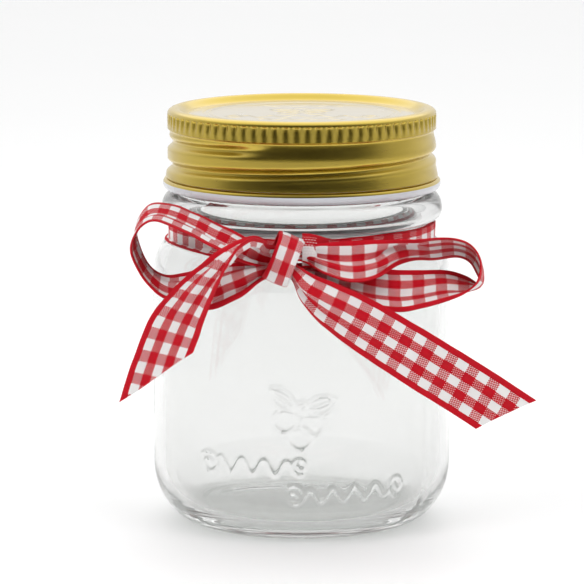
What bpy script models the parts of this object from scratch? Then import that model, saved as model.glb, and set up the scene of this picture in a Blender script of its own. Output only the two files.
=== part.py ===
"""A small preserving jar with a one-piece screw cap and a gingham ribbon tied round its neck.

The frame is the jar's own: +Z up, the origin on the jar's axis in the plane it stands on, -Y towards the bow.
Lengths below are in millimetres, and MM turns them into metres when a mesh is made.
"""

import math

import bmesh
import bpy
from mathutils import Vector

MM = 0.001
SIDES = 48  # round every turned piece

# Glass jar
BODY_R = 32.0
WALL = 2.3
PUSH_UP = 0.4  # the base is hollowed by this much inside its standing ring
STANDING_RING = (20.8, 22.3)
HEEL_TOP = 13.0
FLOOR = 3.4
SHOULDER_FOOT = 52.8
SHOULDER_TOP = 61.3
NECK_R = 27.7
RING_R = 30.1  # the bead that a cap tool pulls against
RING_Z = (65.4, 71.1)
FINISH_R = 26.9  # the wall that carries the thread
MOUTH_R = 24.6
JAR_TOP = 87.2

# Thread: the lead is the rise in one turn. The helix passes the jar's -X side at THREAD_Z.
THREAD_LEAD = 4.8
THREAD_Z = 77.1
THREAD_HALF_WIDTH = 1.5
JAR_THREAD_RISE = 2.4  # the jar's ridge lies half a lead above the cap's groove
JAR_THREAD_HEIGHT = 1.0
JAR_THREAD_SPAN = (145.0, 628.0)
CAP_THREAD_DEPTH = 1.05
CAP_THREAD_SPAN = (100.0, 620.0)
THREAD_RUN_OUT = 25.0  # degrees over which a thread's end fades into the wall
THREAD_ROW = 0.75  # height between the rows of points that carry a thread

# Cap
CAP_R = 28.75
METAL = 0.4
CAP_TOP = 89.2
PANEL_Z = 87.9
PANEL_R = 25.0
CURL_R = 29.75
CURL_Z = (72.0, 74.3)

# Gasket
GASKET_R = (25.8, 27.9)
GASKET_Z = (87.5, 88.4)

# Ribbon
RIBBON_THICKNESS = 0.5
NECK_WRAP_R = (28.0, 28.9)
NECK_WRAP_Z = (61.5, 65.0)
RIBBON_STEPS = 3  # rows of points between two stations of a ribbon's route

# Each station of a ribbon's route is a point on one edge, then the point across from it.
LEFT_LOOP = (
    ((-7.4, -34.0, 60.2), (-7.4, -31.0, 63.0)),
    ((-12.1, -36.5, 61.4), (-9.9, -29.7, 64.3)),
    ((-17.0, -36.3, 63.8), (-12.8, -28.6, 66.0)),
    ((-23.9, -33.0, 66.9), (-21.9, -22.5, 69.3)),
    ((-30.0, -29.0, 68.8), (-27.7, -18.0, 70.8)),
    ((-33.4, -27.0, 67.4), (-32.2, -16.0, 70.3)),
    ((-35.5, -26.5, 63.8), (-34.8, -15.0, 65.9)),
    ((-35.1, -27.0, 60.0), (-34.3, -15.5, 61.5)),
    ((-32.8, -28.5, 56.3), (-32.2, -17.5, 57.7)),
    ((-29.2, -31.0, 53.4), (-28.9, -21.0, 56.2)),
    ((-24.3, -33.5, 51.5), (-24.6, -25.2, 57.3)),
    ((-18.9, -35.5, 51.3), (-20.1, -28.7, 58.9)),
    ((-13.1, -36.2, 53.7), (-14.4, -30.2, 60.2)),
    ((-8.0, -35.0, 57.4), (-8.2, -32.0, 60.2)),
)
RIGHT_LOOP = (
    ((0.8, -32.5, 64.7), (0.6, -33.5, 61.5)),
    ((4.8, -31.5, 65.2), (4.7, -36.0, 59.8)),
    ((9.9, -31.2, 65.3), (10.3, -36.5, 58.5)),
    ((15.7, -31.8, 65.2), (15.7, -34.5, 58.9)),
    ((20.2, -32.5, 65.3), (20.6, -28.0, 60.3)),
    ((26.0, -32.0, 65.5), (26.8, -21.5, 59.4)),
    ((31.6, -31.0, 65.4), (32.3, -20.0, 59.8)),
    ((35.0, -30.5, 63.8), (35.3, -19.0, 58.6)),
    ((36.9, -30.5, 60.4), (36.7, -18.7, 56.2)),
    ((36.4, -31.5, 56.8), (37.2, -20.0, 54.2)),
    ((34.3, -33.0, 54.8), (34.5, -22.0, 56.0)),
    ((30.5, -34.5, 53.2), (30.1, -24.0, 57.6)),
    ((24.7, -36.0, 51.7), (24.6, -27.2, 58.2)),
    ((19.6, -36.5, 51.0), (19.3, -29.8, 58.7)),
    ((13.0, -36.0, 52.1), (13.3, -30.4, 59.4)),
    ((6.8, -35.0, 55.3), (6.8, -30.8, 60.3)),
    ((0.6, -34.0, 58.2), (0.6, -32.0, 60.4)),
)
LEFT_TAIL = (
    ((-6.8, -36.3, 64.5), (-7.2, -31.5, 64.4)),
    ((-7.7, -40.0, 66.5), (-8.2, -32.5, 65.9)),
    ((-10.5, -43.5, 67.2), (-11.3, -35.0, 66.3)),
    ((-12.9, -45.7, 65.9), (-15.1, -37.2, 65.1)),
    ((-14.8, -46.5, 63.0), (-18.6, -39.0, 63.0)),
    ((-16.9, -44.5, 58.3), (-23.4, -36.7, 58.9)),
    ((-19.4, -40.5, 51.7), (-28.2, -34.2, 53.7)),
    ((-21.1, -38.0, 46.4), (-31.6, -32.7, 48.9)),
    ((-22.2, -36.5, 42.6), (-38.1, -30.0, 30.8)),
)
RIGHT_TAIL = (
    ((-0.7, -37.2, 60.6), (-1.7, -35.4, 57.4)),
    ((2.3, -38.7, 59.0), (0.2, -36.2, 53.2)),
    ((6.8, -39.7, 57.5), (3.3, -37.2, 49.1)),
    ((12.9, -39.7, 54.8), (8.3, -37.5, 45.1)),
    ((19.3, -39.2, 51.2), (14.0, -38.0, 41.3)),
    ((29.6, -38.0, 44.8), (24.2, -37.0, 34.1)),
    ((38.8, -36.5, 38.8), (33.5, -36.0, 27.8)),
    ((48.5, -34.0, 32.0), (35.0, -35.5, 26.6)),
)

# Knot: a block that leans to +X as it rises.
KNOT_Z = (57.0, 66.3)
KNOT_FRONT_Y = -38.4
KNOT_BACK_Y = (-32.2, -30.6)  # at its foot and at its head, clear of the shoulder and the ring
KNOT_WIDTH = 5.0
KNOT_FOOT_X = -5.1
KNOT_HEAD_X = -2.5
KNOT_BEVEL = 1.2


def clear_scene():
    for old in list(bpy.data.objects):
        bpy.data.objects.remove(old, do_unlink=True)


def material(name, colour, roughness, metallic=0.0, alpha=1.0, transmission=0.0):
    made = bpy.data.materials.new(name)
    made.use_nodes = True
    shader = made.node_tree.nodes["Principled BSDF"]
    shader.inputs["Base Color"].default_value = (*colour, 1.0)
    shader.inputs["Roughness"].default_value = roughness
    shader.inputs["Metallic"].default_value = metallic
    shader.inputs["Alpha"].default_value = alpha
    shader.inputs["Transmission Weight"].default_value = transmission
    made.diffuse_color = (*colour, alpha)
    return made


def add_object(name, shape, finish):
    """Turns a bmesh in millimetres into a named object in metres."""
    bmesh.ops.scale(shape, vec=(MM, MM, MM), verts=shape.verts)
    bmesh.ops.recalc_face_normals(shape, faces=shape.faces)
    mesh = bpy.data.meshes.new(name)
    shape.to_mesh(mesh)
    shape.free()
    mesh.materials.append(finish)
    mesh.shade_smooth()
    mesh.set_sharp_from_angle(angle=math.radians(35))
    made = bpy.data.objects.new(name, mesh)
    bpy.context.scene.collection.objects.link(made)
    return made


def arc(centre, radii, start, end, steps):
    """Points on an ellipse in the (radius, height) plane, from one angle to another in degrees."""
    points = []
    for i in range(steps + 1):
        angle = math.radians(start + (end - start) * i / steps)
        points.append((centre[0] + radii[0] * math.cos(angle), centre[1] + radii[1] * math.sin(angle)))
    return points


def straight(radius, low, high, row=THREAD_ROW):
    """Points up a cylinder's wall, close enough together to carry the thread."""
    count = math.ceil(abs(high - low) / row)
    return [(radius, low + (high - low) * i / count) for i in range(count + 1)]


def thread(angle, height, span, rise=0.0):
    """How much of the thread there is at a point on a wall, from 0 to 1."""
    most = 0.0
    for turn in range(-1, 3):
        along = math.degrees(angle) + 360 * turn
        if not span[0] < along < span[1]:
            continue
        centre = THREAD_Z + rise + THREAD_LEAD * (along - 180) / 360
        off = abs(height - centre) / THREAD_HALF_WIDTH
        if off < 1:
            fade = min(1.0, (along - span[0]) / THREAD_RUN_OUT, (span[1] - along) / THREAD_RUN_OUT)
            most = max(most, fade * math.cos(off * math.pi / 2) ** 2)
    return most


def turned(outline, relief=None):
    """Turns an outline of (radius, height) points about Z.

    The outline is closed on itself. A point on the axis becomes one vertex.
    relief(angle, radius, height) moves a point outwards.
    """
    shape = bmesh.new()
    rings = []
    for radius, height in outline:
        if radius == 0:
            rings.append([shape.verts.new((0, 0, height))] * SIDES)
            continue
        ring = []
        for side in range(SIDES):
            angle = 2 * math.pi * side / SIDES
            r = radius + (relief(angle, radius, height) if relief else 0)
            ring.append(shape.verts.new((r * math.cos(angle), r * math.sin(angle), height)))
        rings.append(ring)
    for ring, following in zip(rings, rings[1:] + rings[:1]):
        if ring[0] is ring[1] and following[0] is following[1]:
            continue
        for side in range(SIDES):
            after = (side + 1) % SIDES
            corners = (ring[side], ring[after], following[after], following[side])
            shape.faces.new(list(dict.fromkeys(corners)))
    return shape


def make_jar(finish):
    inner_body = BODY_R - WALL
    inner_neck = NECK_R - WALL
    base = [(0, PUSH_UP), (STANDING_RING[0] - 0.8, PUSH_UP), (STANDING_RING[0], 0)]
    heel = arc((STANDING_RING[1], HEEL_TOP), (BODY_R - STANDING_RING[1], HEEL_TOP), -90, 0, 7)
    shoulder = arc((NECK_R, SHOULDER_FOOT), (BODY_R - NECK_R, SHOULDER_TOP - SHOULDER_FOOT), 0, 90, 6)
    low, high = RING_Z
    ring = [
        (NECK_R, low - 0.3),
        (NECK_R + 0.6, low),
        (RING_R - 0.5, low + 0.3),
        (RING_R, low + 1.0),
        (RING_R, high - 0.9),
        (RING_R - 0.5, high - 0.2),
        (NECK_R + 0.5, high),
        (FINISH_R + 0.2, high + 0.3),
    ]
    finish_wall = straight(FINISH_R, high + 0.9, JAR_TOP - 0.8)
    rim = [(FINISH_R - 0.15, JAR_TOP - 0.3), (26.4, JAR_TOP), (25.2, JAR_TOP), (MOUTH_R, JAR_TOP - 0.6)]
    mouth = [(MOUTH_R, high + 0.5), (inner_neck, low + 1.0)]
    inner_shoulder = arc((inner_neck, SHOULDER_FOOT), (inner_body - inner_neck, 7.6), 90, 0, 5)
    inner_heel = arc((STANDING_RING[1], HEEL_TOP), (inner_body - STANDING_RING[1], HEEL_TOP - FLOOR), 0, -90, 5)
    outline = base + heel + shoulder + ring + finish_wall + rim + mouth + inner_shoulder + inner_heel
    outline.append((0, FLOOR))

    def ridge(angle, radius, height):
        if radius != FINISH_R:
            return 0.0
        return JAR_THREAD_HEIGHT * thread(angle, height, JAR_THREAD_SPAN, JAR_THREAD_RISE)

    return add_object("glass_jar", turned(outline, ridge), finish)


def make_cap(finish):
    inner_r = CAP_R - METAL
    low, high = CURL_Z
    curl = [
        (inner_r, low + 0.35),
        (inner_r + 0.45, low),
        (CURL_R - 0.45, low + 0.05),
        (CURL_R - 0.05, low + 0.6),
        (CURL_R, low + 1.2),
        (CURL_R - 0.15, low + 1.9),
        (CURL_R - 0.65, high),
    ]
    wall_top = 84.8
    outer_wall = straight(CAP_R, high + 0.1, wall_top)
    crown = [(CAP_R, 88.0), (CAP_R - 0.15, 88.6), (CAP_R - 0.55, 89.05), (27.4, CAP_TOP), (26.3, CAP_TOP)]
    recess = [(PANEL_R + 0.6, 89.0), (PANEL_R + 0.2, 88.6), (PANEL_R, 88.1), (PANEL_R - 0.4, PANEL_Z)]
    panel = [(0, PANEL_Z), (0, PANEL_Z - METAL), (PANEL_R, PANEL_Z - METAL)]
    under_crown = [(PANEL_R + 0.4, 87.8), (PANEL_R + 0.7, 88.5), (26.4, 88.8), (27.4, 88.8), (28.0, 88.5)]
    under_crown.append((inner_r, 88.0))
    inner_wall = straight(inner_r, wall_top, high + 0.1)
    outline = curl + outer_wall + crown + recess + panel + under_crown + inner_wall

    def groove(angle, radius, height):
        if radius not in (CAP_R, inner_r) or not high < height <= wall_top:
            return 0.0
        return -CAP_THREAD_DEPTH * thread(angle, height, CAP_THREAD_SPAN)

    return add_object("screw_cap", turned(outline, groove), finish)


def make_ring(name, radii, heights, finish):
    """A plain turned ring, such as the gasket."""
    edge = 0.2
    (inner, outer), (low, high) = radii, heights
    outline = [
        (inner, low),
        (outer - edge, low),
        (outer, low + edge),
        (outer, high - edge),
        (outer - edge, high),
        (inner, high),
    ]
    return add_object(name, turned(outline), finish)


def smooth_route(stations, steps):
    """Reads a Catmull-Rom curve through the stations of both edges."""
    edges = [(Vector(first), Vector(second)) for first, second in stations]
    rows = []
    for i in range(len(edges) - 1):
        four = [edges[min(max(k, 0), len(edges) - 1)] for k in range(i - 1, i + 3)]
        for step in range(steps):
            t = step / steps
            weights = (
                (-t + 2 * t**2 - t**3) / 2,
                (2 - 5 * t**2 + 3 * t**3) / 2,
                (t + 4 * t**2 - 3 * t**3) / 2,
                (-(t**2) + t**3) / 2,
            )
            row = [sum((w * station[edge] for w, station in zip(weights, four)), Vector()) for edge in (0, 1)]
            rows.append(row)
    rows.append(list(edges[-1]))
    return rows


def make_ribbon(name, stations, finish):
    """A closed strip of ribbon along a route."""
    rows = smooth_route(stations, RIBBON_STEPS)
    middles = [(first + second) / 2 for first, second in rows]
    shape = bmesh.new()
    sections = []
    for i, (first, second) in enumerate(rows):
        along = middles[min(i + 1, len(rows) - 1)] - middles[max(i - 1, 0)]
        half = along.cross(second - first).normalized() * RIBBON_THICKNESS / 2
        corners = (first + half, second + half, second - half, first - half)
        sections.append([shape.verts.new(corner) for corner in corners])
    for section, following in zip(sections, sections[1:]):
        for k in range(4):
            after = (k + 1) % 4
            shape.faces.new((section[k], section[after], following[after], following[k]))
    shape.faces.new(sections[0])
    shape.faces.new(sections[-1])
    return add_object(name, shape, finish)


def make_knot(finish):
    shape = bmesh.new()
    bmesh.ops.create_cube(shape, size=1.0)
    for vert in shape.verts:
        up = vert.co.z + 0.5
        centre = KNOT_FOOT_X + (KNOT_HEAD_X - KNOT_FOOT_X) * up
        back = KNOT_BACK_Y[0] + (KNOT_BACK_Y[1] - KNOT_BACK_Y[0]) * up
        vert.co = Vector((
            centre + KNOT_WIDTH * vert.co.x,
            back if vert.co.y > 0 else KNOT_FRONT_Y,
            KNOT_Z[0] + (KNOT_Z[1] - KNOT_Z[0]) * up,
        ))
    bmesh.ops.bevel(shape, geom=shape.edges[:], offset=KNOT_BEVEL, segments=3, affect="EDGES", profile=0.5)
    return add_object("bow_knot", shape, finish)


def main():
    clear_scene()
    glass = material("clear_glass", (0.90, 0.95, 0.93), 0.03, alpha=0.35, transmission=1.0)
    lacquer = material("gold_lacquered_steel", (0.72, 0.55, 0.14), 0.28, metallic=0.9)
    liner = material("gasket_liner", (0.86, 0.83, 0.76), 0.6)
    gingham = material("gingham_ribbon", (0.78, 0.09, 0.11), 0.8)
    make_jar(glass)
    make_cap(lacquer)
    make_ring("sealing_gasket", GASKET_R, GASKET_Z, liner)
    make_ring("neck_ribbon", NECK_WRAP_R, NECK_WRAP_Z, gingham)
    make_knot(gingham)
    make_ribbon("bow_loop_left", LEFT_LOOP, gingham)
    make_ribbon("bow_loop_right", RIGHT_LOOP, gingham)
    make_ribbon("bow_tail_left", LEFT_TAIL, gingham)
    make_ribbon("bow_tail_right", RIGHT_TAIL, gingham)


main()
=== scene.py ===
import math

import bpy
import numpy as np
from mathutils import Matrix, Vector


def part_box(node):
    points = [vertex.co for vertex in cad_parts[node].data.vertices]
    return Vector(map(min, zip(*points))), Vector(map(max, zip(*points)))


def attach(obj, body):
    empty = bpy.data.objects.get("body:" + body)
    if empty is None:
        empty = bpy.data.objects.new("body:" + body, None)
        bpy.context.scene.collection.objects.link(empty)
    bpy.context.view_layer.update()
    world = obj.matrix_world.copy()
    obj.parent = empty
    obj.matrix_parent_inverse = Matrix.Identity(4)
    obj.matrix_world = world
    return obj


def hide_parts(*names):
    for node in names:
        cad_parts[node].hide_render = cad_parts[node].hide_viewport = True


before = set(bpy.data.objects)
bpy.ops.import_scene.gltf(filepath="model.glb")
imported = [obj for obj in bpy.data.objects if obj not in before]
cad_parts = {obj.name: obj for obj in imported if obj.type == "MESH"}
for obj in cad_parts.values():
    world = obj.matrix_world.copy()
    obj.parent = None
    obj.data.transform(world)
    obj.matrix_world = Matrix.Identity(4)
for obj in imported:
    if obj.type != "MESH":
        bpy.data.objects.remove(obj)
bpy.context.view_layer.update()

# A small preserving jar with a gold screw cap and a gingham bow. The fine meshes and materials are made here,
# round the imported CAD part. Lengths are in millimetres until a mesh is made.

MM = 0.001


def node_box(node):
    """A CAD node's lowest and highest corner in millimetres."""
    return [np.array(corner, float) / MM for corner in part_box(node)]


JAR_HIGH = node_box("glass_jar")[1]
CAP_LOW, CAP_HIGH = node_box("screw_cap")
GASKET_LOW, GASKET_HIGH = node_box("sealing_gasket")
WRAP_HIGH = node_box("neck_ribbon")[1]
KNOT_LOW, KNOT_HIGH = node_box("bow_knot")

# Glass jar
BODY_R = JAR_HIGH[0]
JAR_TOP = JAR_HIGH[2]
WALL = 2.3
PUSH_UP = 0.4
STANDING_RING = (20.8, 22.3)
HEEL_TOP = 13.0
FLOOR = 3.4
SHOULDER_FOOT = 52.8
SHOULDER_TOP = 61.3
NECK_R = 27.7
RING_R = 30.1
RING_Z = (65.4, 71.1)
RING_BULGE = 2.1
RING_SHAPE = 2.05
RING_WIDEST = 0.38
FINISH_R = 26.9
MOUTH_R = 24.6

# Thread, as it is cut in the CAD part
THREAD_LEAD = 4.8
THREAD_Z = 77.1
THREAD_HALF_WIDTH = 1.5
JAR_THREAD_RISE = 2.4
JAR_THREAD_HEIGHT = 1.0
JAR_THREAD_SPAN = (145.0, 628.0)
CAP_THREAD_DEPTH = 1.05
CAP_THREAD_SPAN = (100.0, 620.0)
THREAD_RUN_OUT = 25.0

# Relief moulded on the front of the glass
RELIEF_HEIGHT = 0.28
RELIEF_Z = (6.5, 34.0)
RELIEF_ARC = 52.0  # degrees to each side of the front
SEAM_ANGLES = (145.0, 325.0)
GLASS_DENSITY = 3.0  # how strongly the glass absorbs light, per metre
BASE_RIDGES_TOP = 3.6
BASE_RIDGE_SPACING = 0.85
GLASS_STROKE = 0.62  # half a stroke's width
SEAM_HALF_WIDTH = 1.4
FAINT_HEIGHT = 0.05  # how far the seams and the ridges stand out

# Cap
CAP_R = 28.75
METAL = 0.35
CAP_TOP = CAP_HIGH[2]
PANEL_Z = CAP_TOP - 1.3
RIM_R = 26.9
RAMP_FOOT = 24.1
CURL_R = CAP_HIGH[0]
CURL_Z = (CAP_LOW[2], 74.3)
KNURLS = 80
KNURL_DEPTH = 0.47
KNURL_Z = (84.9, 88.1)
WAIST_Z = 84.5
WAIST_SPAN = 3.6
WAIST_DEPTH = 0.55
FLARE_Z = 77.2
FLARE = 0.42
CAP_SIDES = 640
PANEL_RELIEF = 0.14
PANEL_RINGS = (20.8, 19.6)
PANEL_MOTIF_R = 21.6
PANEL_STROKE = 0.42
GOLD_ON_CURL = 7  # how many of the curl's last points are gold, the rest being white
WALL_COAT = 0.4
PANEL_COAT = 0.95
WALL_TONES = ((0.50, 0.36, 0.045, 1), (0.62, 0.46, 0.07, 1))
PANEL_TONES = ((0.40, 0.31, 0.12, 1), (0.48, 0.38, 0.16, 1))

# Gasket
GASKET_INNER_R = 25.8

# Ribbon
RIBBON_WIDTH = 12.0
RIBBON_THICKNESS = 0.26
SELVEDGE = 1.3
CHECK = (RIBBON_WIDTH - 2 * SELVEDGE) / 5
BAND = 2.6
THREAD = 0.26
PLEAT = 1.5
PLEATS = 1.75
ACROSS = 36
KNOT_REACH = 33.2  # how far from the axis the wrap's end is, behind the knot
ROW_MM = 0.5

# The wrap round the neck: its ends in degrees, where and over how far it lifts to the knot, the height
# of its lower edge, and how it folds, from 0 at its upper edge to 1 at its lower one, and outwards.
WRAP_ENDS = (270, 262 + 360)
WRAP_LIFT_END = 284
WRAP_LIFT_SPAN = 13
WRAP_BOTTOM = 61.4
WRAP_COLUMNS = 40
WRAP_FOLDS = ((0, 0), (1.0, 0.05), (0.98, 0.4), (0.12, 0.5), (0.1, 0.9), (1.0, 0.85), (1.06, 0.4))

# The band round the middle of the bow: how it folds, sideways and outwards, and how it leans.
KNOT_COLUMNS = 36
KNOT_FOLDS = (
    (-2.4, -0.35),
    (2.2, -0.4),
    (2.75, 0.0),
    (2.3, 0.4),
    (-1.0, 0.5),
    (-2.8, 0.3),
    (-2.9, -0.3),
)
KNOT_LEAN = 0.4

# Each station of a stretch of ribbon is a point on one edge, the point across from it, and how far the
# ribbon's middle bulges out of the line between them.
LEFT_LOOP = (
    ((-4.0, -34.8, 60.2), (-4.0, -32.8, 62.2), 1.2),
    ((-7.4, -34.2, 60.2), (-7.4, -31.0, 63.0), 1.4),
    ((-12.1, -36.5, 61.4), (-9.9, -29.7, 64.3), 1.2),
    ((-17.0, -36.3, 63.8), (-12.8, -28.6, 66.0), 0.9),
    ((-23.9, -33.0, 66.9), (-21.9, -22.5, 69.3), 0.5),
    ((-30.0, -29.0, 68.8), (-27.7, -18.0, 70.8), 0.4),
    ((-33.4, -27.0, 67.4), (-32.2, -16.0, 70.3), 0.4),
    ((-35.5, -26.5, 63.8), (-34.8, -15.0, 65.9), 0.3),
    ((-35.1, -27.0, 60.0), (-34.3, -15.5, 61.5), 0.3),
    ((-32.8, -28.5, 56.3), (-32.2, -17.5, 57.7), 0.3),
    ((-29.2, -31.0, 53.4), (-28.9, -21.0, 56.2), 0.4),
    ((-24.3, -33.5, 51.5), (-24.6, -25.2, 57.3), 0.6),
    ((-18.9, -35.5, 51.3), (-20.1, -28.7, 58.9), 0.8),
    ((-13.1, -36.2, 53.7), (-14.4, -30.2, 60.2), 1.0),
    ((-8.0, -35.0, 57.4), (-8.2, -32.0, 60.2), 1.0),
    ((-4.0, -35.2, 58.6), (-4.0, -33.4, 60.4), 0.8),
)
RIGHT_LOOP = (
    ((-2.4, -33.0, 63.8), (-2.4, -34.0, 61.4), 0.6),
    ((0.8, -32.5, 64.1), (0.6, -33.7, 60.9), 0.8),
    ((4.8, -31.5, 64.5), (4.7, -36.0, 58.9), 1.0),
    ((9.9, -31.2, 64.9), (10.3, -36.8, 57.3), 1.2),
    ((15.7, -31.8, 65.2), (15.7, -34.8, 58.0), 1.2),
    ((20.2, -32.5, 65.3), (20.6, -28.2, 59.8), 1.0),
    ((26.0, -32.0, 65.5), (26.8, -21.5, 59.4), 0.4),
    ((31.6, -31.0, 65.4), (32.3, -20.0, 59.8), 0.4),
    ((35.0, -30.5, 63.8), (35.3, -19.0, 58.6), 0.5),
    ((36.9, -30.5, 60.4), (36.7, -18.7, 56.2), 0.7),
    ((36.4, -31.5, 56.8), (37.2, -20.0, 54.2), 1.0),
    ((34.3, -33.0, 54.8), (34.5, -22.0, 56.0), 0.9),
    ((30.5, -34.5, 53.2), (30.1, -24.0, 57.6), 0.5),
    ((24.7, -36.0, 51.7), (24.6, -27.2, 58.2), 0.5),
    ((19.6, -36.5, 51.0), (19.3, -29.8, 58.7), 0.6),
    ((13.0, -36.0, 52.1), (13.3, -30.4, 59.4), 0.8),
    ((6.8, -35.0, 55.3), (6.8, -30.8, 60.3), 0.8),
    ((0.6, -34.0, 58.2), (0.6, -32.0, 60.4), 0.8),
    ((-2.6, -34.2, 59.0), (-2.6, -33.0, 60.6), 0.6),
)
LEFT_TAIL = (
    ((-4.0, -35.0, 64.2), (-4.2, -32.6, 64.0), 0.8),
    ((-6.8, -36.3, 64.5), (-7.2, -32.5, 64.4), 1.0),
    ((-7.9, -40.0, 66.3), (-8.4, -33.0, 65.9), 1.3),
    ((-10.5, -43.5, 67.2), (-11.3, -35.0, 66.3), 1.3),
    ((-12.9, -45.7, 65.9), (-15.1, -37.2, 65.1), 1.2),
    ((-14.8, -46.5, 63.0), (-18.6, -39.0, 63.0), 1.2),
    ((-16.9, -44.5, 58.3), (-23.4, -36.7, 58.9), 0.9),
    ((-19.4, -40.5, 51.7), (-28.2, -34.2, 53.7), 0.5),
    ((-21.1, -38.0, 46.4), (-31.6, -32.7, 48.9), 0.2),
    ((-24.0, -35.8, 38.2), (-35.2, -31.2, 39.8), 0.1),
    ((-26.5, -34.8, 28.0), (-38.1, -30.0, 30.8), 0.0),
)
LEFT_TAIL_SHORT = (14.8, 0.0)  # how much of each edge the slanted cut takes off
RIGHT_TAIL = (
    ((-3.6, -35.4, 61.4), (-3.6, -34.2, 58.6), -0.4),
    ((-0.7, -37.2, 60.6), (-1.7, -35.4, 57.4), -0.8),
    ((2.3, -38.7, 59.0), (0.2, -36.2, 53.2), -1.3),
    ((6.8, -39.7, 57.5), (3.3, -37.2, 49.1), -1.3),
    ((12.9, -39.7, 54.8), (8.3, -37.5, 45.1), -0.8),
    ((19.3, -39.2, 51.2), (14.0, -38.0, 41.0), -0.4),
    ((29.6, -38.0, 44.8), (24.2, -37.0, 34.1), 0.0),
    ((38.8, -36.5, 38.8), (33.2, -36.0, 28.2), 0.2),
    ((48.5, -34.0, 32.0), (42.3, -34.8, 21.8), 0.2),
)
RIGHT_TAIL_SHORT = (0.0, 8.2)


# ---------------------------------------------------------------- meshes


def new_object(name, points, faces, uvs=None, slots=None, smooth_angle=40):
    """Makes an object in metres from points in millimetres.

    uvs holds one pair for each corner of each face.
    """
    mesh = bpy.data.meshes.new(name)
    mesh.from_pydata([tuple(p) for p in np.asarray(points, float) * MM], [], faces)
    mesh.validate()
    if uvs is not None:
        layer = mesh.uv_layers.new(name="UVMap")
        layer.data.foreach_set("uv", np.asarray(uvs, float).ravel())
    if slots is not None:
        mesh.polygons.foreach_set("material_index", np.asarray(slots, int))
    mesh.shade_smooth()
    mesh.set_sharp_from_angle(angle=math.radians(smooth_angle))
    made = bpy.data.objects.new(name, mesh)
    bpy.context.scene.collection.objects.link(made)
    return made


def arc(centre, radii, start, end, steps):
    """Points on an ellipse in the (radius, height) plane, from one angle to another in degrees."""
    angles = np.radians(np.linspace(start, end, steps + 1))
    return list(zip(centre[0] + radii[0] * np.cos(angles), centre[1] + radii[1] * np.sin(angles)))


def line(start, end, step):
    """Points on a straight line, without its last one."""
    count = max(1, math.ceil(math.dist(start, end) / step))
    share = np.arange(count) / count
    return [tuple(np.array(start) * (1 - t) + np.array(end) * t) for t in share]


def turned(name, outline, angles, relief=None, slots=None, smooth_angle=40):
    """Turns a closed outline of (radius, height) points about Z.

    relief(angles, radii, heights) gives how far each point moves outwards and upwards.
    slots gives the material of each row of faces. A point on the axis becomes one vertex.
    """
    outline = np.array(outline, float)
    radii, heights = [np.repeat(outline[:, k, None], len(angles), axis=1) for k in (0, 1)]
    around = np.repeat(angles[None, :], len(outline), axis=0)
    if relief is not None:
        out, up = relief(around, radii, heights)
        radii, heights = radii + out, heights + up
    points = np.stack([radii * np.cos(around), radii * np.sin(around), heights], axis=2)
    on_axis = outline[:, 0] == 0
    index = np.arange(points.shape[0] * points.shape[1]).reshape(points.shape[:2])
    index[on_axis] = index[on_axis][:, :1]
    faces, face_slots = [], []
    for row in range(len(outline)):
        after = (row + 1) % len(outline)
        if on_axis[row] and on_axis[after]:
            continue
        ring, following = index[row], index[after]
        for side in range(len(angles)):
            side_after = (side + 1) % len(angles)
            corners = (ring[side], ring[side_after], following[side_after], following[side])
            faces.append(tuple(int(c) for c in dict.fromkeys(corners)))
            face_slots.append(slots[row] if slots is not None else 0)
    used, faces = drop_unused(points.reshape(-1, 3), faces)
    return new_object(name, used, faces, slots=face_slots, smooth_angle=smooth_angle)


def drop_unused(points, faces):
    """Leaves out the points that no face uses."""
    used = sorted({corner for face in faces for corner in face})
    place = {old: new for new, old in enumerate(used)}
    return points[used], [tuple(place[corner] for corner in face) for face in faces]


def thread(angles, heights, span, rise=0.0):
    """How much of the thread there is at each point of a wall, from 0 to 1."""
    most = np.zeros_like(heights)
    for turn in range(-1, 3):
        along = np.degrees(angles) % 360 + 360 * turn
        centre = THREAD_Z + rise + THREAD_LEAD * (along - 180) / 360
        off = np.clip(np.abs(heights - centre) / THREAD_HALF_WIDTH, 0, 1)
        fade = np.clip(np.minimum(along - span[0], span[1] - along) / THREAD_RUN_OUT, 0, 1)
        fade = fade * fade * (3 - 2 * fade)
        most = np.maximum(most, fade * np.cos(off * math.pi / 2) ** 2)
    return most


# ---------------------------------------------------------------- relief drawn with plain strokes


def spiral(centre, start_r, end_r, start, end, count=60):
    """Points on a spiral between two angles in degrees, or on a circle where the radii are equal."""
    angles = np.radians(np.linspace(start, end, count))
    radii = np.linspace(start_r, end_r, count)
    return np.stack([centre[0] + radii * np.cos(angles), centre[1] + radii * np.sin(angles)], axis=1)


def wave(start, end, height, turns, count=90):
    """Points on a sine wave about a straight line."""
    share = np.linspace(0, 1, count)
    x = start[0] + (end[0] - start[0]) * share
    y = start[1] + (end[1] - start[1]) * share + height * np.sin(2 * math.pi * turns * share)
    return np.stack([x, y], axis=1)


def leaf(base, length, width, tilt, count=30):
    """The outline and midrib of a plain leaf."""
    share = np.linspace(0, 1, count)
    half = width * np.sin(math.pi * share) ** 0.8
    turn = np.array([[math.cos(tilt), math.sin(tilt)], [-math.sin(tilt), math.cos(tilt)]])
    upper = np.stack([length * share, half], axis=1) @ turn + base
    lower = np.stack([length * share, -half], axis=1) @ turn + base
    rib = np.stack([length * share * 0.8, 0 * share], axis=1) @ turn + base
    return [upper, lower, rib]


def distance_to(strokes, x, y):
    """How far each point is from the nearest stroke."""
    dots = np.concatenate(strokes)
    best = np.full(x.shape, np.inf)
    for chunk in np.array_split(dots, max(1, len(dots) // 40)):
        away = (x[..., None] - chunk[:, 0]) ** 2 + (y[..., None] - chunk[:, 1]) ** 2
        best = np.minimum(best, away.min(axis=-1))
    return np.sqrt(best)


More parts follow.
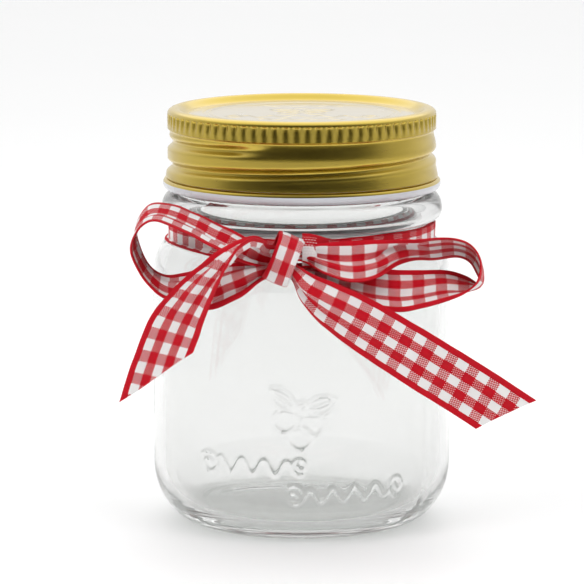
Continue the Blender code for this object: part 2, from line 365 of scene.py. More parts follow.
def raised(distance, half_width):
    """A rounded ridge along a stroke, from 0 to 1."""
    off = np.clip(distance / half_width, 0, 1)
    return (1 - off**2) ** 2


def glass_strokes():
    """Three berries with leaves over two scrolling lines, in millimetres along the wall and up it."""
    berries = [spiral(centre, 2.4, 2.4, 0, 360) for centre in ((-3.6, 27.2), (2.2, 26.4), (-0.4, 23.4))]
    leaves = leaf(np.array([0.2, 29.0]), 7.5, 1.9, 0.35) + leaf(np.array([-1.4, 29.6]), 6.5, 1.7, 2.5)
    stems = [wave((-3.6, 29.6), (0.4, 31.2), 0.3, 0.5), wave((2.2, 28.8), (0.4, 31.2), 0.3, 0.5)]
    upper_scroll = [
        wave((-19.0, 17.4), (-2.0, 17.0), 1.5, 3.5),
        spiral((-20.8, 17.0), 0.6, 2.6, 0, 500),
        spiral((-0.4, 17.6), 0.5, 1.9, 180, 640),
    ]
    lower_scroll = [
        wave((0.5, 11.2), (19.5, 11.8), 1.4, 4.0),
        spiral((21.4, 12.3), 0.5, 2.2, 180, 620),
        spiral((-1.6, 11.0), 0.6, 2.4, 0, 480),
    ]
    return berries + leaves + stems + upper_scroll + lower_scroll


def panel_strokes():
    """Two rings, a sprig with berries, and waves for the cap's panel."""
    rings = [spiral((0, 0), radius, radius, 0, 360, 500) for radius in PANEL_RINGS]
    sprig = leaf(np.array([0.0, 2.0]), 8.0, 2.4, 0.6) + leaf(np.array([0.0, 2.0]), 8.0, 2.4, 2.54)
    berries = [spiral(centre, 1.9, 1.9, 0, 360) for centre in ((-3.0, -0.6), (3.0, -0.6), (0.0, 6.2))]
    scrolls = [
        wave((-13.0, -6.5), (13.0, -6.5), 1.5, 5.0, 200),
        spiral((-14.8, -6.3), 0.6, 2.2, 0, 450),
        spiral((14.8, -6.3), 0.6, 2.2, 180, 630),
        wave((-9.0, -11.5), (9.0, -11.5), 1.0, 4.0, 140),
        wave((-9.0, 12.5), (9.0, 12.5), 1.0, 4.0, 140),
    ]
    return rings + sprig + berries + scrolls


# ---------------------------------------------------------------- glass jar, cap and gasket


def jar_angles():
    """Angles round the jar, closer together across the moulded relief."""
    front = 270.0
    fine = np.arange(front - RELIEF_ARC, front + RELIEF_ARC, 0.5)
    rest = np.arange(front + RELIEF_ARC, front + 360 - RELIEF_ARC, 2.0)
    return np.radians(np.concatenate([fine, rest]))


def jar_relief(angles, radii, heights):
    """The thread, the moulded motif, the ridges on the heel and the two mould seams."""
    on_finish = np.isclose(radii, FINISH_R)
    out = JAR_THREAD_HEIGHT * thread(angles, heights, JAR_THREAD_SPAN, JAR_THREAD_RISE) * on_finish
    on_wall = (radii > BODY_R - 1.6) & (heights > RELIEF_Z[0]) & (heights < RELIEF_Z[1])
    along = ((np.degrees(angles) - 270 + 180) % 360 - 180) * math.pi / 180 * BODY_R
    near = on_wall & (np.abs(along) < RELIEF_ARC * math.pi / 180 * BODY_R)
    motif = np.zeros_like(radii)
    motif[near] = raised(distance_to(glass_strokes(), along[near], heights[near]), GLASS_STROKE)
    out = out + RELIEF_HEIGHT * motif
    near_base = (radii > STANDING_RING[1] + 0.2) & (heights < BASE_RIDGES_TOP)
    fade = np.clip(np.minimum(heights - 0.15, BASE_RIDGES_TOP - heights), 0, 1)
    out = out + FAINT_HEIGHT * fade * np.sin(2 * math.pi * heights / BASE_RIDGE_SPACING) * near_base
    outside = (radii > NECK_R - 0.1) & (heights > 1.0)
    for seam in SEAM_ANGLES:
        off = ((np.degrees(angles) - seam + 180) % 360 - 180) * math.pi / 180 * radii
        out = out + FAINT_HEIGHT * raised(np.abs(off), SEAM_HALF_WIDTH) * outside
    return out, np.zeros_like(out)


def make_jar(glass):
    inner_body, inner_neck = BODY_R - WALL, NECK_R - WALL
    low, high = RING_Z
    heel = arc((STANDING_RING[1], HEEL_TOP), (BODY_R - STANDING_RING[1], HEEL_TOP), -90, 0, 34)
    shoulder = arc((NECK_R, SHOULDER_FOOT), (BODY_R - NECK_R, SHOULDER_TOP - SHOULDER_FOOT), 0, 84, 22)
    outline = [(0, PUSH_UP)]
    hollow = np.linspace(0.15, 1, 24)
    outline += list(zip(STANDING_RING[0] * hollow, PUSH_UP * (0.5 + 0.5 * np.cos(math.pi * hollow**2.5))))
    outline += heel
    outline += line((BODY_R, HEEL_TOP + 0.35), (BODY_R, RELIEF_Z[1]), 0.35)
    outline += line((BODY_R, RELIEF_Z[1]), (BODY_R, SHOULDER_FOOT), 1.5)
    outline += shoulder
    outline += [(NECK_R + 0.16, SHOULDER_TOP + 0.25), (NECK_R, SHOULDER_TOP + 0.8)]
    outline += arc((NECK_R + 0.6, low - 0.6), (0.6, 0.6), 180, 110, 4)
    across = np.linspace(-0.97, 0.97, 33)
    ring_r = RING_R - RING_BULGE * (1 - (1 - np.abs(across) ** RING_SHAPE) ** (1 / RING_SHAPE))
    widest = low + RING_WIDEST * (high - low)
    ring_z = widest + np.where(across < 0, widest - low, high - widest) * across
    outline += list(zip(ring_r, ring_z))
    outline += arc((FINISH_R + 0.6, high + 0.6), (0.6, 0.6), -110, -180, 4)
    outline += line((FINISH_R, high + 1.4), (FINISH_R, JAR_TOP - 0.9), 0.3)
    outline += arc((FINISH_R - 0.9, JAR_TOP - 0.9), (0.9, 0.9), 0, 90, 8)
    outline += arc((MOUTH_R + 0.7, JAR_TOP - 0.7), (0.7, 0.7), 90, 180, 7)
    outline += line((MOUTH_R, JAR_TOP - 1.4), (MOUTH_R, high + 1.5), 3.0)
    outline += line((MOUTH_R, high + 1.5), (inner_neck, low + 0.6), 1.0)
    outline += line((inner_neck, low + 0.6), (inner_neck, SHOULDER_TOP - 0.6), 1.5)
    outline += arc((inner_neck, SHOULDER_FOOT), (inner_body - inner_neck, 7.6), 90, 0, 18)
    outline += line((inner_body, SHOULDER_FOOT - 1.5), (inner_body, HEEL_TOP), 3.0)
    inner_heel = (inner_body - STANDING_RING[1], HEEL_TOP - FLOOR)
    outline += arc((STANDING_RING[1], HEEL_TOP), inner_heel, 0, -90, 22)
    outline += line((STANDING_RING[1] - 1.5, FLOOR - 0.02), (3.0, FLOOR + 0.15), 2.0)
    outline.append((0, FLOOR + 0.15))
    jar = turned("jar_glass", outline, jar_angles(), jar_relief)
    jar.data.materials.append(glass)
    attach(jar, "jar")
    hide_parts("glass_jar")


def knurl(angles):
    """The knurled band's outline, from 0 in a groove to 1 on a rib."""
    phase = (angles * KNURLS / (2 * math.pi)) % 1.0
    return np.clip((0.5 + 0.5 * np.cos(2 * math.pi * phase)) * 1.9 - 0.25, 0, 1)


def cap_relief(inner_r):
    """The thread, waist, flared foot and knurls of the cap's wall, and the motif on its panel."""

    def relief(angles, radii, heights):
        walls = (np.isclose(radii, CAP_R) | np.isclose(radii, inner_r)) & (heights < KNURL_Z[0] - 0.1)
        out = -CAP_THREAD_DEPTH * thread(angles, heights, CAP_THREAD_SPAN) * walls
        rise = np.clip((WAIST_Z - heights) / WAIST_SPAN, 0, 1)
        above = np.clip((KNURL_Z[0] + 0.2 - heights) / (KNURL_Z[0] + 0.2 - WAIST_Z), 0, 1)
        flare = np.clip((FLARE_Z - heights) / (FLARE_Z - CURL_Z[1]), 0, 1)
        out = out + FLARE * flare * flare * (3 - 2 * flare) * walls
        out = out - WAIST_DEPTH * (1 - rise * rise * (3 - 2 * rise)) * above * walls
        low, high = KNURL_Z
        ends = np.clip((high + 0.25 - heights) / 0.5, 0, 1) * np.clip((heights - low) / 0.45, 0, 1)
        band = (np.isclose(radii, CAP_R) | np.isclose(radii, inner_r)) * ends * ends * (3 - 2 * ends)
        share = np.clip((heights - low) / (high - low), 0, 1)
        deepening = 0.1 + 0.9 * share * share * (3 - 2 * share)
        out = out - KNURL_DEPTH * deepening * (1 - knurl(angles)) * band
        x, y = radii * np.cos(angles), radii * np.sin(angles)
        panel = (radii < PANEL_MOTIF_R) & (heights > PANEL_Z - 0.1)
        motif = np.zeros_like(radii)
        motif[panel] = raised(distance_to(panel_strokes(), x[panel], y[panel]), PANEL_STROKE)
        return out, PANEL_RELIEF * motif

    return relief


def cap_slots(rows, gold_from, panel_from, panel_to):
    """The material of each row of the cap: 0 is the wall's gold, 1 white and 2 the panel's gold."""
    slots = np.ones(rows, int)
    slots[gold_from:panel_from] = 0
    slots[panel_from:panel_to] = 2
    return slots.tolist()


def make_cap(lacquer, panel_lacquer, white):
    inner_r = CAP_R - METAL
    low, high = CURL_Z
    middle, half = (low + high) / 2, (high - low) / 2
    curl = arc((CURL_R - half * 0.8, middle), (half * 0.8, half), -150, 90, 22)
    curl_end = arc((CAP_R + 0.35, high + 0.35), (0.35, 0.35), -90, -180, 4)
    outer_wall = line((CAP_R, high + 0.5), (CAP_R, KNURL_Z[0]), 0.22)
    knurl_wall = line((CAP_R, KNURL_Z[0]), (CAP_R, KNURL_Z[1]), 0.2)
    crown = arc((RIM_R, KNURL_Z[1]), (CAP_R - RIM_R, CAP_TOP - KNURL_Z[1]), 0, 90, 14)
    ramp = np.linspace(0, 1, 15)[1:-1]
    recess = []
    for t in ramp:
        height = PANEL_Z + (CAP_TOP - PANEL_Z) * (0.5 + 0.5 * math.cos(math.pi * t))
        recess.append((RIM_R - (RIM_R - RAMP_FOOT) * t, height))
    panel = line((RAMP_FOOT, PANEL_Z), (1.2, PANEL_Z), 0.32) + [(0, PANEL_Z)]
    under_panel = [(0, PANEL_Z - METAL), (12.0, PANEL_Z - METAL), (RAMP_FOOT + 0.1, PANEL_Z - METAL)]
    under_crown = [(RAMP_FOOT + 1.1, PANEL_Z - 0.1), (RIM_R - 0.9, CAP_TOP - 0.68)]
    under_crown += arc((RIM_R, KNURL_Z[1]), (inner_r - RIM_R, CAP_TOP - METAL - KNURL_Z[1]), 90, 0, 8)
    inner_wall = line((inner_r, KNURL_Z[1]), (inner_r, KNURL_Z[0]), 0.2)
    inner_wall += line((inner_r, KNURL_Z[0]), (inner_r, high + 0.3), 0.22) + [(inner_r, low + 0.9)]
    outside = curl + curl_end + outer_wall + knurl_wall + crown + recess
    outline = outside + panel + under_panel + under_crown + inner_wall
    panel_to = len(outside) + len(panel)
    slots = cap_slots(len(outline), len(curl) - GOLD_ON_CURL, len(outside), panel_to)
    angles = np.linspace(0, 2 * math.pi, CAP_SIDES, endpoint=False)
    cap = turned("cap_shell", outline, angles, cap_relief(inner_r), slots, smooth_angle=50)
    cap.data.materials.append(lacquer)
    cap.data.materials.append(white)
    cap.data.materials.append(panel_lacquer)
    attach(cap, "cap")
    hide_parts("screw_cap")


def make_gasket(liner):
    inner, outer = GASKET_INNER_R, GASKET_HIGH[0]
    low, high = GASKET_LOW[2], GASKET_HIGH[2]
    middle, half = (low + high) / 2, (high - low) / 2
    outline = arc((outer - half, middle), (half, half), -90, 90, 8)
    outline += arc((inner + half, middle), (half, half), 90, 270, 8)[1:-1]
    angles = np.linspace(0, 2 * math.pi, 160, endpoint=False)

    def lumps(around, radii, heights):
        return 0.03 * np.sin(7 * around) * np.sin(heights), 0.02 * np.sin(11 * around + 1)

    gasket = turned("gasket_ring", outline, angles, lumps)
    gasket.data.materials.append(liner)
    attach(gasket, "gasket")
    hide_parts("sealing_gasket")


# ---------------------------------------------------------------- ribbon


def smooth_rows(stations, steps=24):
    """A Catmull-Rom curve through rows of numbers."""
    rows = np.array(stations, float)
    rows = np.concatenate([rows[:1], rows, rows[-1:]])
    t = (np.arange(steps) / steps)[:, None]
    pieces = []
    for i in range(len(rows) - 3):
        a, b, c, d = rows[i : i + 4]
        pieces.append(
            (-t + 2 * t**2 - t**3) / 2 * a
            + (2 - 5 * t**2 + 3 * t**3) / 2 * b
            + (t + 4 * t**2 - 3 * t**3) / 2 * c
            + (-(t**2) + t**3) / 2 * d
        )
    return np.concatenate([*pieces, rows[-1:]])


def ripple(along, across, seed, size):
    """Small soft waves in the cloth, the same on each run."""
    random = np.random.default_rng(seed)
    total = np.zeros(np.broadcast(along, across).shape)
    for _ in range(7):
        length, side = random.uniform(5, 17), random.uniform(-0.6, 0.6)
        total = total + np.sin(2 * math.pi * (along / length + side * across + random.uniform(0, 1)))
    return size * total / 7


def pleats(across, chord, along, seed):
    """Lengthwise folds where the ribbon is squeezed narrower than its own width."""
    squeeze = np.clip(1 - chord / RIBBON_WIDTH, 0, 0.8)
    size = np.minimum(PLEAT * np.sqrt(squeeze), chord * 0.16)
    phase = 0.7 * seed + 0.35 * np.sin(along / 6)
    wave_line = np.sin(2 * math.pi * PLEATS * across[None, :] + phase[:, None])
    edges = np.sin(math.pi * np.clip(across, 0, 1)) ** 0.5
    return size[:, None] * wave_line * edges[None, :]


def cloth_grid(stations, short, seed):
    """Points on a stretch of ribbon, and how far along it each one is.

    short is what a slanted cut takes off the far end of each edge.
    """
    flat = [(*first, *second, bulge) for first, second, bulge in stations]
    rows = smooth_rows(flat)
    first, second, bulge = rows[:, :3], rows[:, 3:6], rows[:, 6]
    middle = (first + second) / 2
    steps = np.linalg.norm(np.diff(middle, axis=0), axis=1)
    along = np.concatenate([[0], np.cumsum(steps)])
    normal = np.cross(np.gradient(middle, axis=0), second - first)
    normal /= np.linalg.norm(normal, axis=1)[:, None]
    across = np.linspace(0, 1, ACROSS)
    dense = first[:, None] + (second - first)[:, None] * across[None, :, None]
    lift = 4 * across * (1 - across) * bulge[:, None]
    lift = lift + ripple(along[:, None], across[None, :], seed, 0.28)
    lift = lift + pleats(across, np.linalg.norm(second - first, axis=1), along, seed)
    dense = dense + normal[:, None] * lift[..., None]
    count = math.ceil(along[-1] / ROW_MM)
    grid = np.zeros((count + 1, ACROSS, 3))
    places = np.zeros((count + 1, ACROSS))
    for k, u in enumerate(across):
        end = along[-1] - short[0] * (1 - u) - short[1] * u
        places[:, k] = np.linspace(0, end, count + 1)
        for axis in range(3):
            grid[:, k, axis] = np.interp(places[:, k], along, dense[:, k, axis])
    return grid, places


def cloth_thickness():
    """Half the ribbon's thickness across its width, with a fuller corded edge."""
    across = np.linspace(0, RIBBON_WIDTH, ACROSS)
    from_edge = np.minimum(across, RIBBON_WIDTH - across)
    cord = np.clip(1 - from_edge / SELVEDGE, 0, 1)
    return RIBBON_THICKNESS / 2 + 0.07 * np.sin(math.pi * np.clip(cord * 0.9 + 0.1, 0, 1))


def cloth_object(name, grid, places, across=None):
    """A closed thin sheet round a grid of points, with its place in the weave as UVs."""
    rows, columns = grid.shape[:2]
    across = np.linspace(0, 1, columns) if across is None else across
    along_step = np.gradient(grid, axis=0)
    across_step = np.gradient(grid, axis=1)
    normal = np.cross(along_step, across_step)
    normal /= np.maximum(np.linalg.norm(normal, axis=2), 1e-9)[..., None]
    half = np.interp(across, np.linspace(0, 1, ACROSS), cloth_thickness())[None, :, None]
    top, under = grid + normal * half, grid - normal * half
    ring = np.concatenate([top, under[:, ::-1]], axis=1)
    index = np.arange(rows * columns * 2).reshape(rows, columns * 2)
    u = np.concatenate([across, across[::-1]])
    v = np.concatenate([places, places[:, ::-1]], axis=1) / RIBBON_WIDTH
    faces, uvs = [], []
    for i in range(rows - 1):
        for k in range(columns * 2):
            after = (k + 1) % (columns * 2)
            corners = ((i, k), (i + 1, k), (i + 1, after), (i, after))
            faces.append(tuple(int(index[c]) for c in corners))
            uvs += [(u[c[1]], v[c]) for c in corners]
    for i, order in ((0, 1), (rows - 1, -1)):
        for k in range(columns - 1):
            below = columns * 2 - 1 - k
            corners = [(i, k), (i, k + 1), (i, below - 1), (i, below)][::order]
            faces.append(tuple(int(index[c]) for c in corners))
            uvs += [(u[c[1]], v[c]) for c in corners]
    return new_object(name, ring.reshape(-1, 3), faces, uvs=uvs, smooth_angle=75)


def finish_ribbon(piece, node, gingham):
    piece.data.materials.append(gingham)
    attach(piece, "jar")
    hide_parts(node)


def make_stretch(name, node, stations, gingham, seed, short=(0.0, 0.0)):
    grid, places = cloth_grid(stations, short, seed)
    piece = cloth_object(name, grid, places)
    finish_ribbon(piece, node, gingham)
    return piece


def folded(corners, columns):
    """A rounded zigzag across the ribbon, from its corners as (sideways, outwards) pairs."""
    corners = np.array(corners, float)
    steps = np.linalg.norm(np.diff(corners, axis=0), axis=1)
    along = np.concatenate([[0], np.cumsum(steps)])
    fine = np.linspace(0, along[-1], 400)
    shape = np.stack([np.interp(fine, along, corners[:, k]) for k in (0, 1)], axis=1)
    kernel = np.hanning(27)
    kernel /= kernel.sum()
    padded = np.concatenate([np.repeat(shape[:1], 13, 0), shape, np.repeat(shape[-1:], 13, 0)])
    shape = np.stack([np.convolve(padded[:, k], kernel, mode="valid") for k in (0, 1)], axis=1)
    pick = np.linspace(0, 399, columns).astype(int)
    return shape[pick]


def shoulder_radius(height):
    """How far out the glass is under the ribbon."""
    share = np.clip((height - SHOULDER_FOOT) / (SHOULDER_TOP - SHOULDER_FOOT), 0, 1)
    return NECK_R + (BODY_R - NECK_R) * np.sqrt(1 - share**2)


def make_neck_wrap(gingham):
    """The ribbon round the neck, gathered into three layers and opening a little towards the knot."""
    profile = folded(WRAP_FOLDS, WRAP_COLUMNS)
    angles = np.radians(np.arange(WRAP_ENDS[0], WRAP_ENDS[1] + 0.1, 1.0))
    to_front = np.abs((np.degrees(angles) - 270 + 180) % 360 - 180) / 180
    drop = np.exp(-((to_front / 0.2) ** 2))
    top = WRAP_HIGH[2] + 0.15 - 0.3 * drop + 0.1 * np.sin(5 * angles)
    bottom = WRAP_BOTTOM - 2.4 * drop + 0.15 * np.sin(3 * angles + 1)
    grid = np.zeros((len(angles), WRAP_COLUMNS, 3))
    lift = np.clip((WRAP_LIFT_END - np.degrees(angles)) / WRAP_LIFT_SPAN, 0, 1)
    lift = lift * lift * (3 - 2 * lift)
    for k, (down, out) in enumerate(profile):
        height = top + (bottom - top) * down + lift * (2.2 - 1.2 * down)
        radius = shoulder_radius(height) + 0.28 + 0.6 * out
        radius = radius + lift * (KNOT_REACH - radius)
        radius = radius + 0.1 * np.sin(9 * angles + 4 * k / WRAP_COLUMNS)
        grid[:, k] = np.stack([radius * np.cos(angles), radius * np.sin(angles), height], axis=1)
    round_it = (angles - angles[0]) * (NECK_R + 0.8)
    places = np.repeat(round_it[:, None], WRAP_COLUMNS, axis=1)
    piece = cloth_object("neck_wrap", grid, places)
    finish_ribbon(piece, "neck_ribbon", gingham)


def make_knot(gingham):
    """The band round the middle of the bow, folded to half its width and leaning as it rises."""
    profile = folded(KNOT_FOLDS, KNOT_COLUMNS)
    low, high = KNOT_LOW, KNOT_HIGH
    middle = (low + high) / 2
    turn = np.radians(np.arange(-200, 175, 4.0))
    round_y, round_z = np.cos(turn), np.sin(turn)
    swell = 1 / (np.abs(round_y) ** 3 + np.abs(round_z) ** 3) ** (1 / 3)
    depth, rise = (high[1] - low[1]) / 2 - 0.35, (high[2] - low[2]) / 2 - 0.3
    centre = np.stack([0 * turn, -depth * round_y * swell, rise * round_z * swell], axis=1) + middle
    centre[:, 0] += KNOT_LEAN * (centre[:, 2] - middle[2])
    outward = np.stack([0 * turn, -round_y, round_z], axis=1)
    sideways = np.array([math.cos(KNOT_LEAN), 0.0, -math.sin(KNOT_LEAN)])
    grid = np.zeros((len(turn), KNOT_COLUMNS, 3))
    for k, (across, out) in enumerate(profile):
        waist = 1 - 0.10 * np.clip(round_y, 0, 1)
        grid[:, k] = centre + sideways * (across * waist)[:, None] + outward * out
    steps = np.linalg.norm(np.diff(centre, axis=0), axis=1)
    along = np.concatenate([[0], np.cumsum(steps)])
    piece = cloth_object("knot_band", grid, np.repeat(along[:, None], KNOT_COLUMNS, axis=1))
    finish_ribbon(piece, "bow_knot", gingham)


# ---------------------------------------------------------------- materials


class Nodes:
    """A short way to build a material's nodes."""

    def __init__(self, name):
        self.material = bpy.data.materials.new(name)
        self.material.use_nodes = True
        self.tree = self.material.node_tree
        self.shader = self.tree.nodes["Principled BSDF"]

    def add(self, kind, **values):
        node = self.tree.nodes.new(kind)
        for key, value in values.items():
            setattr(node, key, value)
        return node

    def link(self, source, target):
        self.tree.links.new(source, target)

    def put(self, target, value):
        """Links a socket or sets a plain value."""
        if isinstance(value, bpy.types.NodeSocket):
            self.link(value, target)
        else:
            target.default_value = value

    def math(self, operation, *values):
        node = self.add("ShaderNodeMath", operation=operation)
        for socket, value in zip(node.inputs, values):
            self.put(socket, value)
        return node.outputs[0]

    def mix(self, factor, first, second):
        node = self.add("ShaderNodeMix", data_type="RGBA")
        self.put(node.inputs["Factor"], factor)
        self.put(node.inputs[6], first)
        self.put(node.inputs[7], second)
        return node.outputs[2]

    def noise(self, scale, detail=3.0, stretch=(1, 1, 1)):
        place = self.add("ShaderNodeTexCoord").outputs["Object"]
        mapping = self.add("ShaderNodeMapping")
        mapping.inputs["Scale"].default_value = stretch
        self.link(place, mapping.inputs["Vector"])
        node = self.add("ShaderNodeTexNoise")
        node.inputs["Scale"].default_value = scale
        node.inputs["Detail"].default_value = detail
        self.link(mapping.outputs[0], node.inputs["Vector"])
        return node.outputs["Fac"]

    def spread(self, value, low, high):
        """Carries a 0 to 1 value over to a range."""
        node = self.add("ShaderNodeMapRange")
        self.put(node.inputs["Value"], value)
        node.inputs["To Min"].default_value = low
        node.inputs["To Max"].default_value = high
        return node.outputs["Result"]

    def bump(self, height, distance, strength=1.0):
        node = self.add("ShaderNodeBump")
        node.inputs["Distance"].default_value = distance
        node.inputs["Strength"].default_value = strength
        self.link(height, node.inputs["Height"])
        self.link(node.outputs["Normal"], self.shader.inputs["Normal"])

    def set(self, **values):
        for key, value in values.items():
            self.put(self.shader.inputs[key.replace("_", " ")], value)


def glass_material():
    nodes = Nodes("clear_glass")
    nodes.set(Base_Color=(0.870, 0.874, 0.868, 1), Transmission_Weight=1.0, IOR=1.5)
    nodes.set(Roughness=nodes.spread(nodes.noise(60.0), 0.0, 0.02))
    nodes.bump(nodes.noise(38.0, 2.0), 0.00035, 0.12)
    clear = nodes.add("ShaderNodeBsdfTransparent")
    clear.inputs["Color"].default_value = (0.90, 0.91, 0.90, 1)
    mix = nodes.add("ShaderNodeMixShader")
    path = nodes.add("ShaderNodeLightPath")
    nodes.link(path.outputs["Is Shadow Ray"], mix.inputs[0])
    nodes.link(nodes.shader.outputs[0], mix.inputs[1])
    nodes.link(clear.outputs[0], mix.inputs[2])
    grey = nodes.add("ShaderNodeVolumeAbsorption")
    grey.inputs["Color"].default_value = (0.30, 0.34, 0.30, 1)
    grey.inputs["Density"].default_value = GLASS_DENSITY
    output = nodes.tree.nodes["Material Output"]
    nodes.link(mix.outputs[0], output.inputs["Surface"])
    nodes.link(grey.outputs[0], output.inputs["Volume"])
    return nodes.material


def lacquer_material(name, tones, coat):
    """Gold lacquer over rolled tinplate: fine streaks round the cap and a faint mottle."""
    nodes = Nodes(name)
    nodes.set(Metallic=1.0, Coat_Weight=coat, Coat_Roughness=0.1, Coat_IOR=1.6)
    streak = nodes.noise(240.0, 4.0, (0.6, 0.6, 6.0))
    mottle = nodes.noise(130.0, 3.0)
    tone = nodes.math("ADD", nodes.math("MULTIPLY", streak, 0.6), nodes.math("MULTIPLY", mottle, 0.4))
    colour = nodes.mix(tone, *tones)
    nodes.set(Base_Color=colour, Roughness=nodes.spread(streak, 0.24, 0.36))
    nodes.bump(tone, 0.00006, 0.35)
    return nodes.material


def white_material():
    nodes = Nodes("white_lacquer")
    nodes.set(Coat_Weight=0.5, Coat_Roughness=0.08)
    mottle = nodes.noise(90.0)
    nodes.set(Base_Color=nodes.mix(mottle, (0.56, 0.57, 0.60, 1), (0.64, 0.65, 0.68, 1)))
    nodes.set(Roughness=nodes.spread(mottle, 0.22, 0.36))
    return nodes.material


def liner_material():
    nodes = Nodes("gasket_compound")
    mottle = nodes.noise(300.0)
    nodes.set(Base_Color=nodes.mix(mottle, (0.70, 0.66, 0.56, 1), (0.80, 0.77, 0.69, 1)))
    nodes.set(Roughness=nodes.spread(mottle, 0.5, 0.7))
    nodes.bump(mottle, 0.0001, 0.4)
    return nodes.material


def gingham_material():
    """A red and white check, woven thread by thread from warp and weft colours."""
    nodes = Nodes("gingham_weave")
    place = nodes.add("ShaderNodeSeparateXYZ")
    nodes.link(nodes.add("ShaderNodeUVMap").outputs["UV"], place.inputs[0])
    across = nodes.math("MULTIPLY", place.outputs["X"], RIBBON_WIDTH)
    along = nodes.math("MULTIPLY", place.outputs["Y"], RIBBON_WIDTH)
    inside = nodes.math("DIVIDE", nodes.math("SUBTRACT", across, SELVEDGE), CHECK)
    red_warp = nodes.math("FLOORED_MODULO", nodes.math("FLOOR", inside), 2.0)
    from_middle = nodes.math("ABSOLUTE", nodes.math("SUBTRACT", across, RIBBON_WIDTH / 2))
    edge = nodes.math("GREATER_THAN", from_middle, RIBBON_WIDTH / 2 - SELVEDGE)
    red_warp = nodes.math("MAXIMUM", red_warp, edge)
    band = nodes.math("FLOOR", nodes.math("DIVIDE", along, BAND))
    red_weft = nodes.math("FLOORED_MODULO", band, 2.0)
    warp_phase = nodes.math("DIVIDE", across, THREAD)
    weft_phase = nodes.math("DIVIDE", along, THREAD)
    threads = nodes.math("ADD", nodes.math("FLOOR", warp_phase), nodes.math("FLOOR", weft_phase))
    weft_on_top = nodes.math("FLOORED_MODULO", threads, 2.0)
    off_thread = nodes.math("ABSOLUTE", nodes.math("SUBTRACT", nodes.math("FRACT", warp_phase), 0.5))
    reach = nodes.math("SUBTRACT", 0.5, nodes.math("MULTIPLY", red_warp, 0.37))
    weft_on_top = nodes.math("MULTIPLY", weft_on_top, nodes.math("LESS_THAN", off_thread, reach))
    between = nodes.math("GREATER_THAN", off_thread, nodes.math("ADD", 0.28, red_warp))
    weft_on_top = nodes.math("MAXIMUM", weft_on_top, between)
    weft_on_top = nodes.math("MULTIPLY", weft_on_top, nodes.math("SUBTRACT", 1.0, edge))
    warp_on_top = nodes.math("SUBTRACT", 1.0, weft_on_top)
    red = nodes.math(
        "ADD",
        nodes.math("MULTIPLY", weft_on_top, red_weft),
        nodes.math("MULTIPLY", warp_on_top, red_warp),
    )
    fibre = nodes.noise(900.0, 3.0)
    shade = nodes.noise(160.0, 2.0)
    dye = nodes.mix(fibre, (0.42, 0.002, 0.010, 1), (0.66, 0.006, 0.018, 1))
    bleached = nodes.mix(shade, (0.80, 0.76, 0.76, 1), (0.93, 0.91, 0.90, 1))
    nodes.set(Base_Color=nodes.mix(red, bleached, dye))
    nodes.set(Roughness=nodes.spread(fibre, 0.62, 0.85))
    nodes.set(Sheen_Weight=0.08, Sheen_Roughness=0.4, Specular_IOR_Level=0.2)
    warp_round = nodes.math("ABSOLUTE", nodes.math("SINE", nodes.math("MULTIPLY", warp_phase, math.pi)))
    weft_round = nodes.math("ABSOLUTE", nodes.math("SINE", nodes.math("MULTIPLY", weft_phase, math.pi)))
    relief = nodes.math(
        "ADD",
        nodes.math("MULTIPLY", weft_round, warp_on_top),
        nodes.math("MULTIPLY", warp_round, weft_on_top),
    )
    nodes.bump(nodes.math("ADD", relief, nodes.math("MULTIPLY", fibre, 0.5)), 0.00008, 0.7)
    return nodes.material


def floor_material():
    nodes = Nodes("pale_floor")
    nodes.set(Base_Color=nodes.mix(nodes.noise(6.0), (0.945, 0.945, 0.945, 1), (0.965, 0.965, 0.965, 1)))
    nodes.set(Roughness=0.6)
    return nodes.material


# ---------------------------------------------------------------- studio

CAMERA_DISTANCE = 0.80
CAMERA_RISE = math.radians(9.4)
CAMERA_AIM = Vector((-0.0021, 0.0, 0.0491))
CAMERA_LENS = 228.8
SENSOR = 36.0
TENT_LEVELS = ((0.02, 0.03), (0.20, 0.08), (0.47, 0.64), (0.85, 0.97))  # from front to back
LIGHT_BOUNCES = 64  # light runs a long way inside the glass of the heel


def make_camera():
    data = bpy.data.cameras.new("camera")
    data.lens = CAMERA_LENS
    data.sensor_width = SENSOR
    data.clip_start = 0.01
    camera = bpy.data.objects.new("camera", data)
    bpy.context.scene.collection.objects.link(camera)
    back = Vector((0, -math.cos(CAMERA_RISE), math.sin(CAMERA_RISE)))
    camera.location = CAMERA_AIM + back * CAMERA_DISTANCE
    camera.rotation_euler = back.to_track_quat("Z", "Y").to_euler()
    bpy.context.scene.camera = camera


def make_floor():
    size = 4.0
    corners = [(-size, -size, 0), (size, -size, 0), (size, size, 0), (-size, size, 0)]
    mesh = bpy.data.meshes.new("floor")
    mesh.from_pydata(corners, [], [(0, 1, 2, 3)])
    floor = bpy.data.objects.new("floor", mesh)
    bpy.context.scene.collection.objects.link(floor)
    floor.data.materials.append(floor_material())


def add_softbox(name, place, size, power, target, spread, close=False):
    data = bpy.data.lights.new(name, "AREA")
    data.shape = "RECTANGLE"
    data.size, data.size_y = size
    data.energy = power
    data.spread = math.radians(spread)
    light = bpy.data.objects.new(name, data)
    bpy.context.scene.collection.objects.link(light)
    light.location = place
    light.visible_glossy = not close
    light.visible_transmission = not close
    away = Vector(place) - Vector(target)
    light.rotation_euler = away.to_track_quat("Z", "Y").to_euler()


def make_lights():
    """One broad light behind and above, two small ones for the side that the camera sees."""
    add_softbox("back_light", (0.0, 1.6, 1.35), (2.3, 3.4), 16.8, (0.0, 1.6, 0.0), 180)
    add_softbox("left_light", (-0.75, -0.65, 0.75), (0.7, 0.7), 1.0, (0, 0, 0.05), 60, close=True)
    add_softbox("right_light", (0.75, -0.65, 0.75), (0.7, 0.7), 0.88, (0, 0, 0.05), 60, close=True)


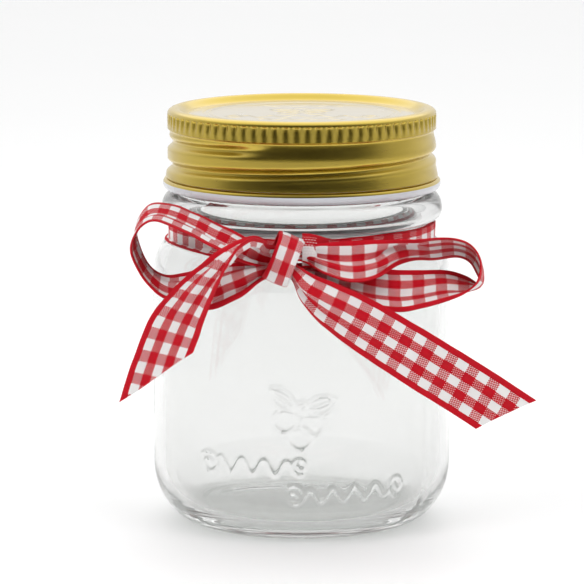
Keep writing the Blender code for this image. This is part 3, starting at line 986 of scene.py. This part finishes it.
def make_world():
    """A pale tent that is open and dim on the side that the camera looks from."""
    world = bpy.data.worlds.new("studio")
    bpy.context.scene.world = world
    world.use_nodes = True
    tree = world.node_tree
    background = tree.nodes["Background"]
    place = tree.nodes.new("ShaderNodeTexCoord")
    split = tree.nodes.new("ShaderNodeSeparateXYZ")
    tree.links.new(place.outputs["Generated"], split.inputs[0])
    ramp = tree.nodes.new("ShaderNodeValToRGB")
    ramp.color_ramp.interpolation = "EASE"
    ramp.color_ramp.elements[0].position = TENT_LEVELS[0][0]
    ramp.color_ramp.elements[1].position = TENT_LEVELS[-1][0]
    for position, _ in TENT_LEVELS[1:-1]:
        ramp.color_ramp.elements.new(position)
    for element, (_, level) in zip(ramp.color_ramp.elements, TENT_LEVELS):
        element.color = (level, level, level, 1)
    half = tree.nodes.new("ShaderNodeMapRange")
    half.inputs["From Min"].default_value = -1.0
    tree.links.new(split.outputs["Y"], half.inputs["Value"])
    tree.links.new(half.outputs["Result"], ramp.inputs[0])
    tree.links.new(ramp.outputs["Color"], background.inputs["Color"])
    background.inputs["Strength"].default_value = 1.0


def set_view():
    scene = bpy.context.scene
    scene.view_settings.view_transform = "Standard"
    scene.cycles.max_bounces = LIGHT_BOUNCES
    scene.cycles.glossy_bounces = LIGHT_BOUNCES
    scene.cycles.transmission_bounces = LIGHT_BOUNCES
    scene.cycles.transparent_max_bounces = LIGHT_BOUNCES
    scene.cycles.caustics_refractive = True
    scene.cycles.caustics_reflective = False


def main():
    make_jar(glass_material())
    lacquer = lacquer_material("gold_lacquer", WALL_TONES, WALL_COAT)
    panel_lacquer = lacquer_material("panel_lacquer", PANEL_TONES, PANEL_COAT)
    make_cap(lacquer, panel_lacquer, white_material())
    make_gasket(liner_material())
    gingham = gingham_material()
    make_neck_wrap(gingham)
    make_knot(gingham)
    make_stretch("loop_left", "bow_loop_left", LEFT_LOOP, gingham, 3)
    make_stretch("loop_right", "bow_loop_right", RIGHT_LOOP, gingham, 5)
    make_stretch("tail_left", "bow_tail_left", LEFT_TAIL, gingham, 7, LEFT_TAIL_SHORT)
    make_stretch("tail_right", "bow_tail_right", RIGHT_TAIL, gingham, 9, RIGHT_TAIL_SHORT)
    make_floor()
    make_camera()
    make_lights()
    make_world()
    set_view()


main()
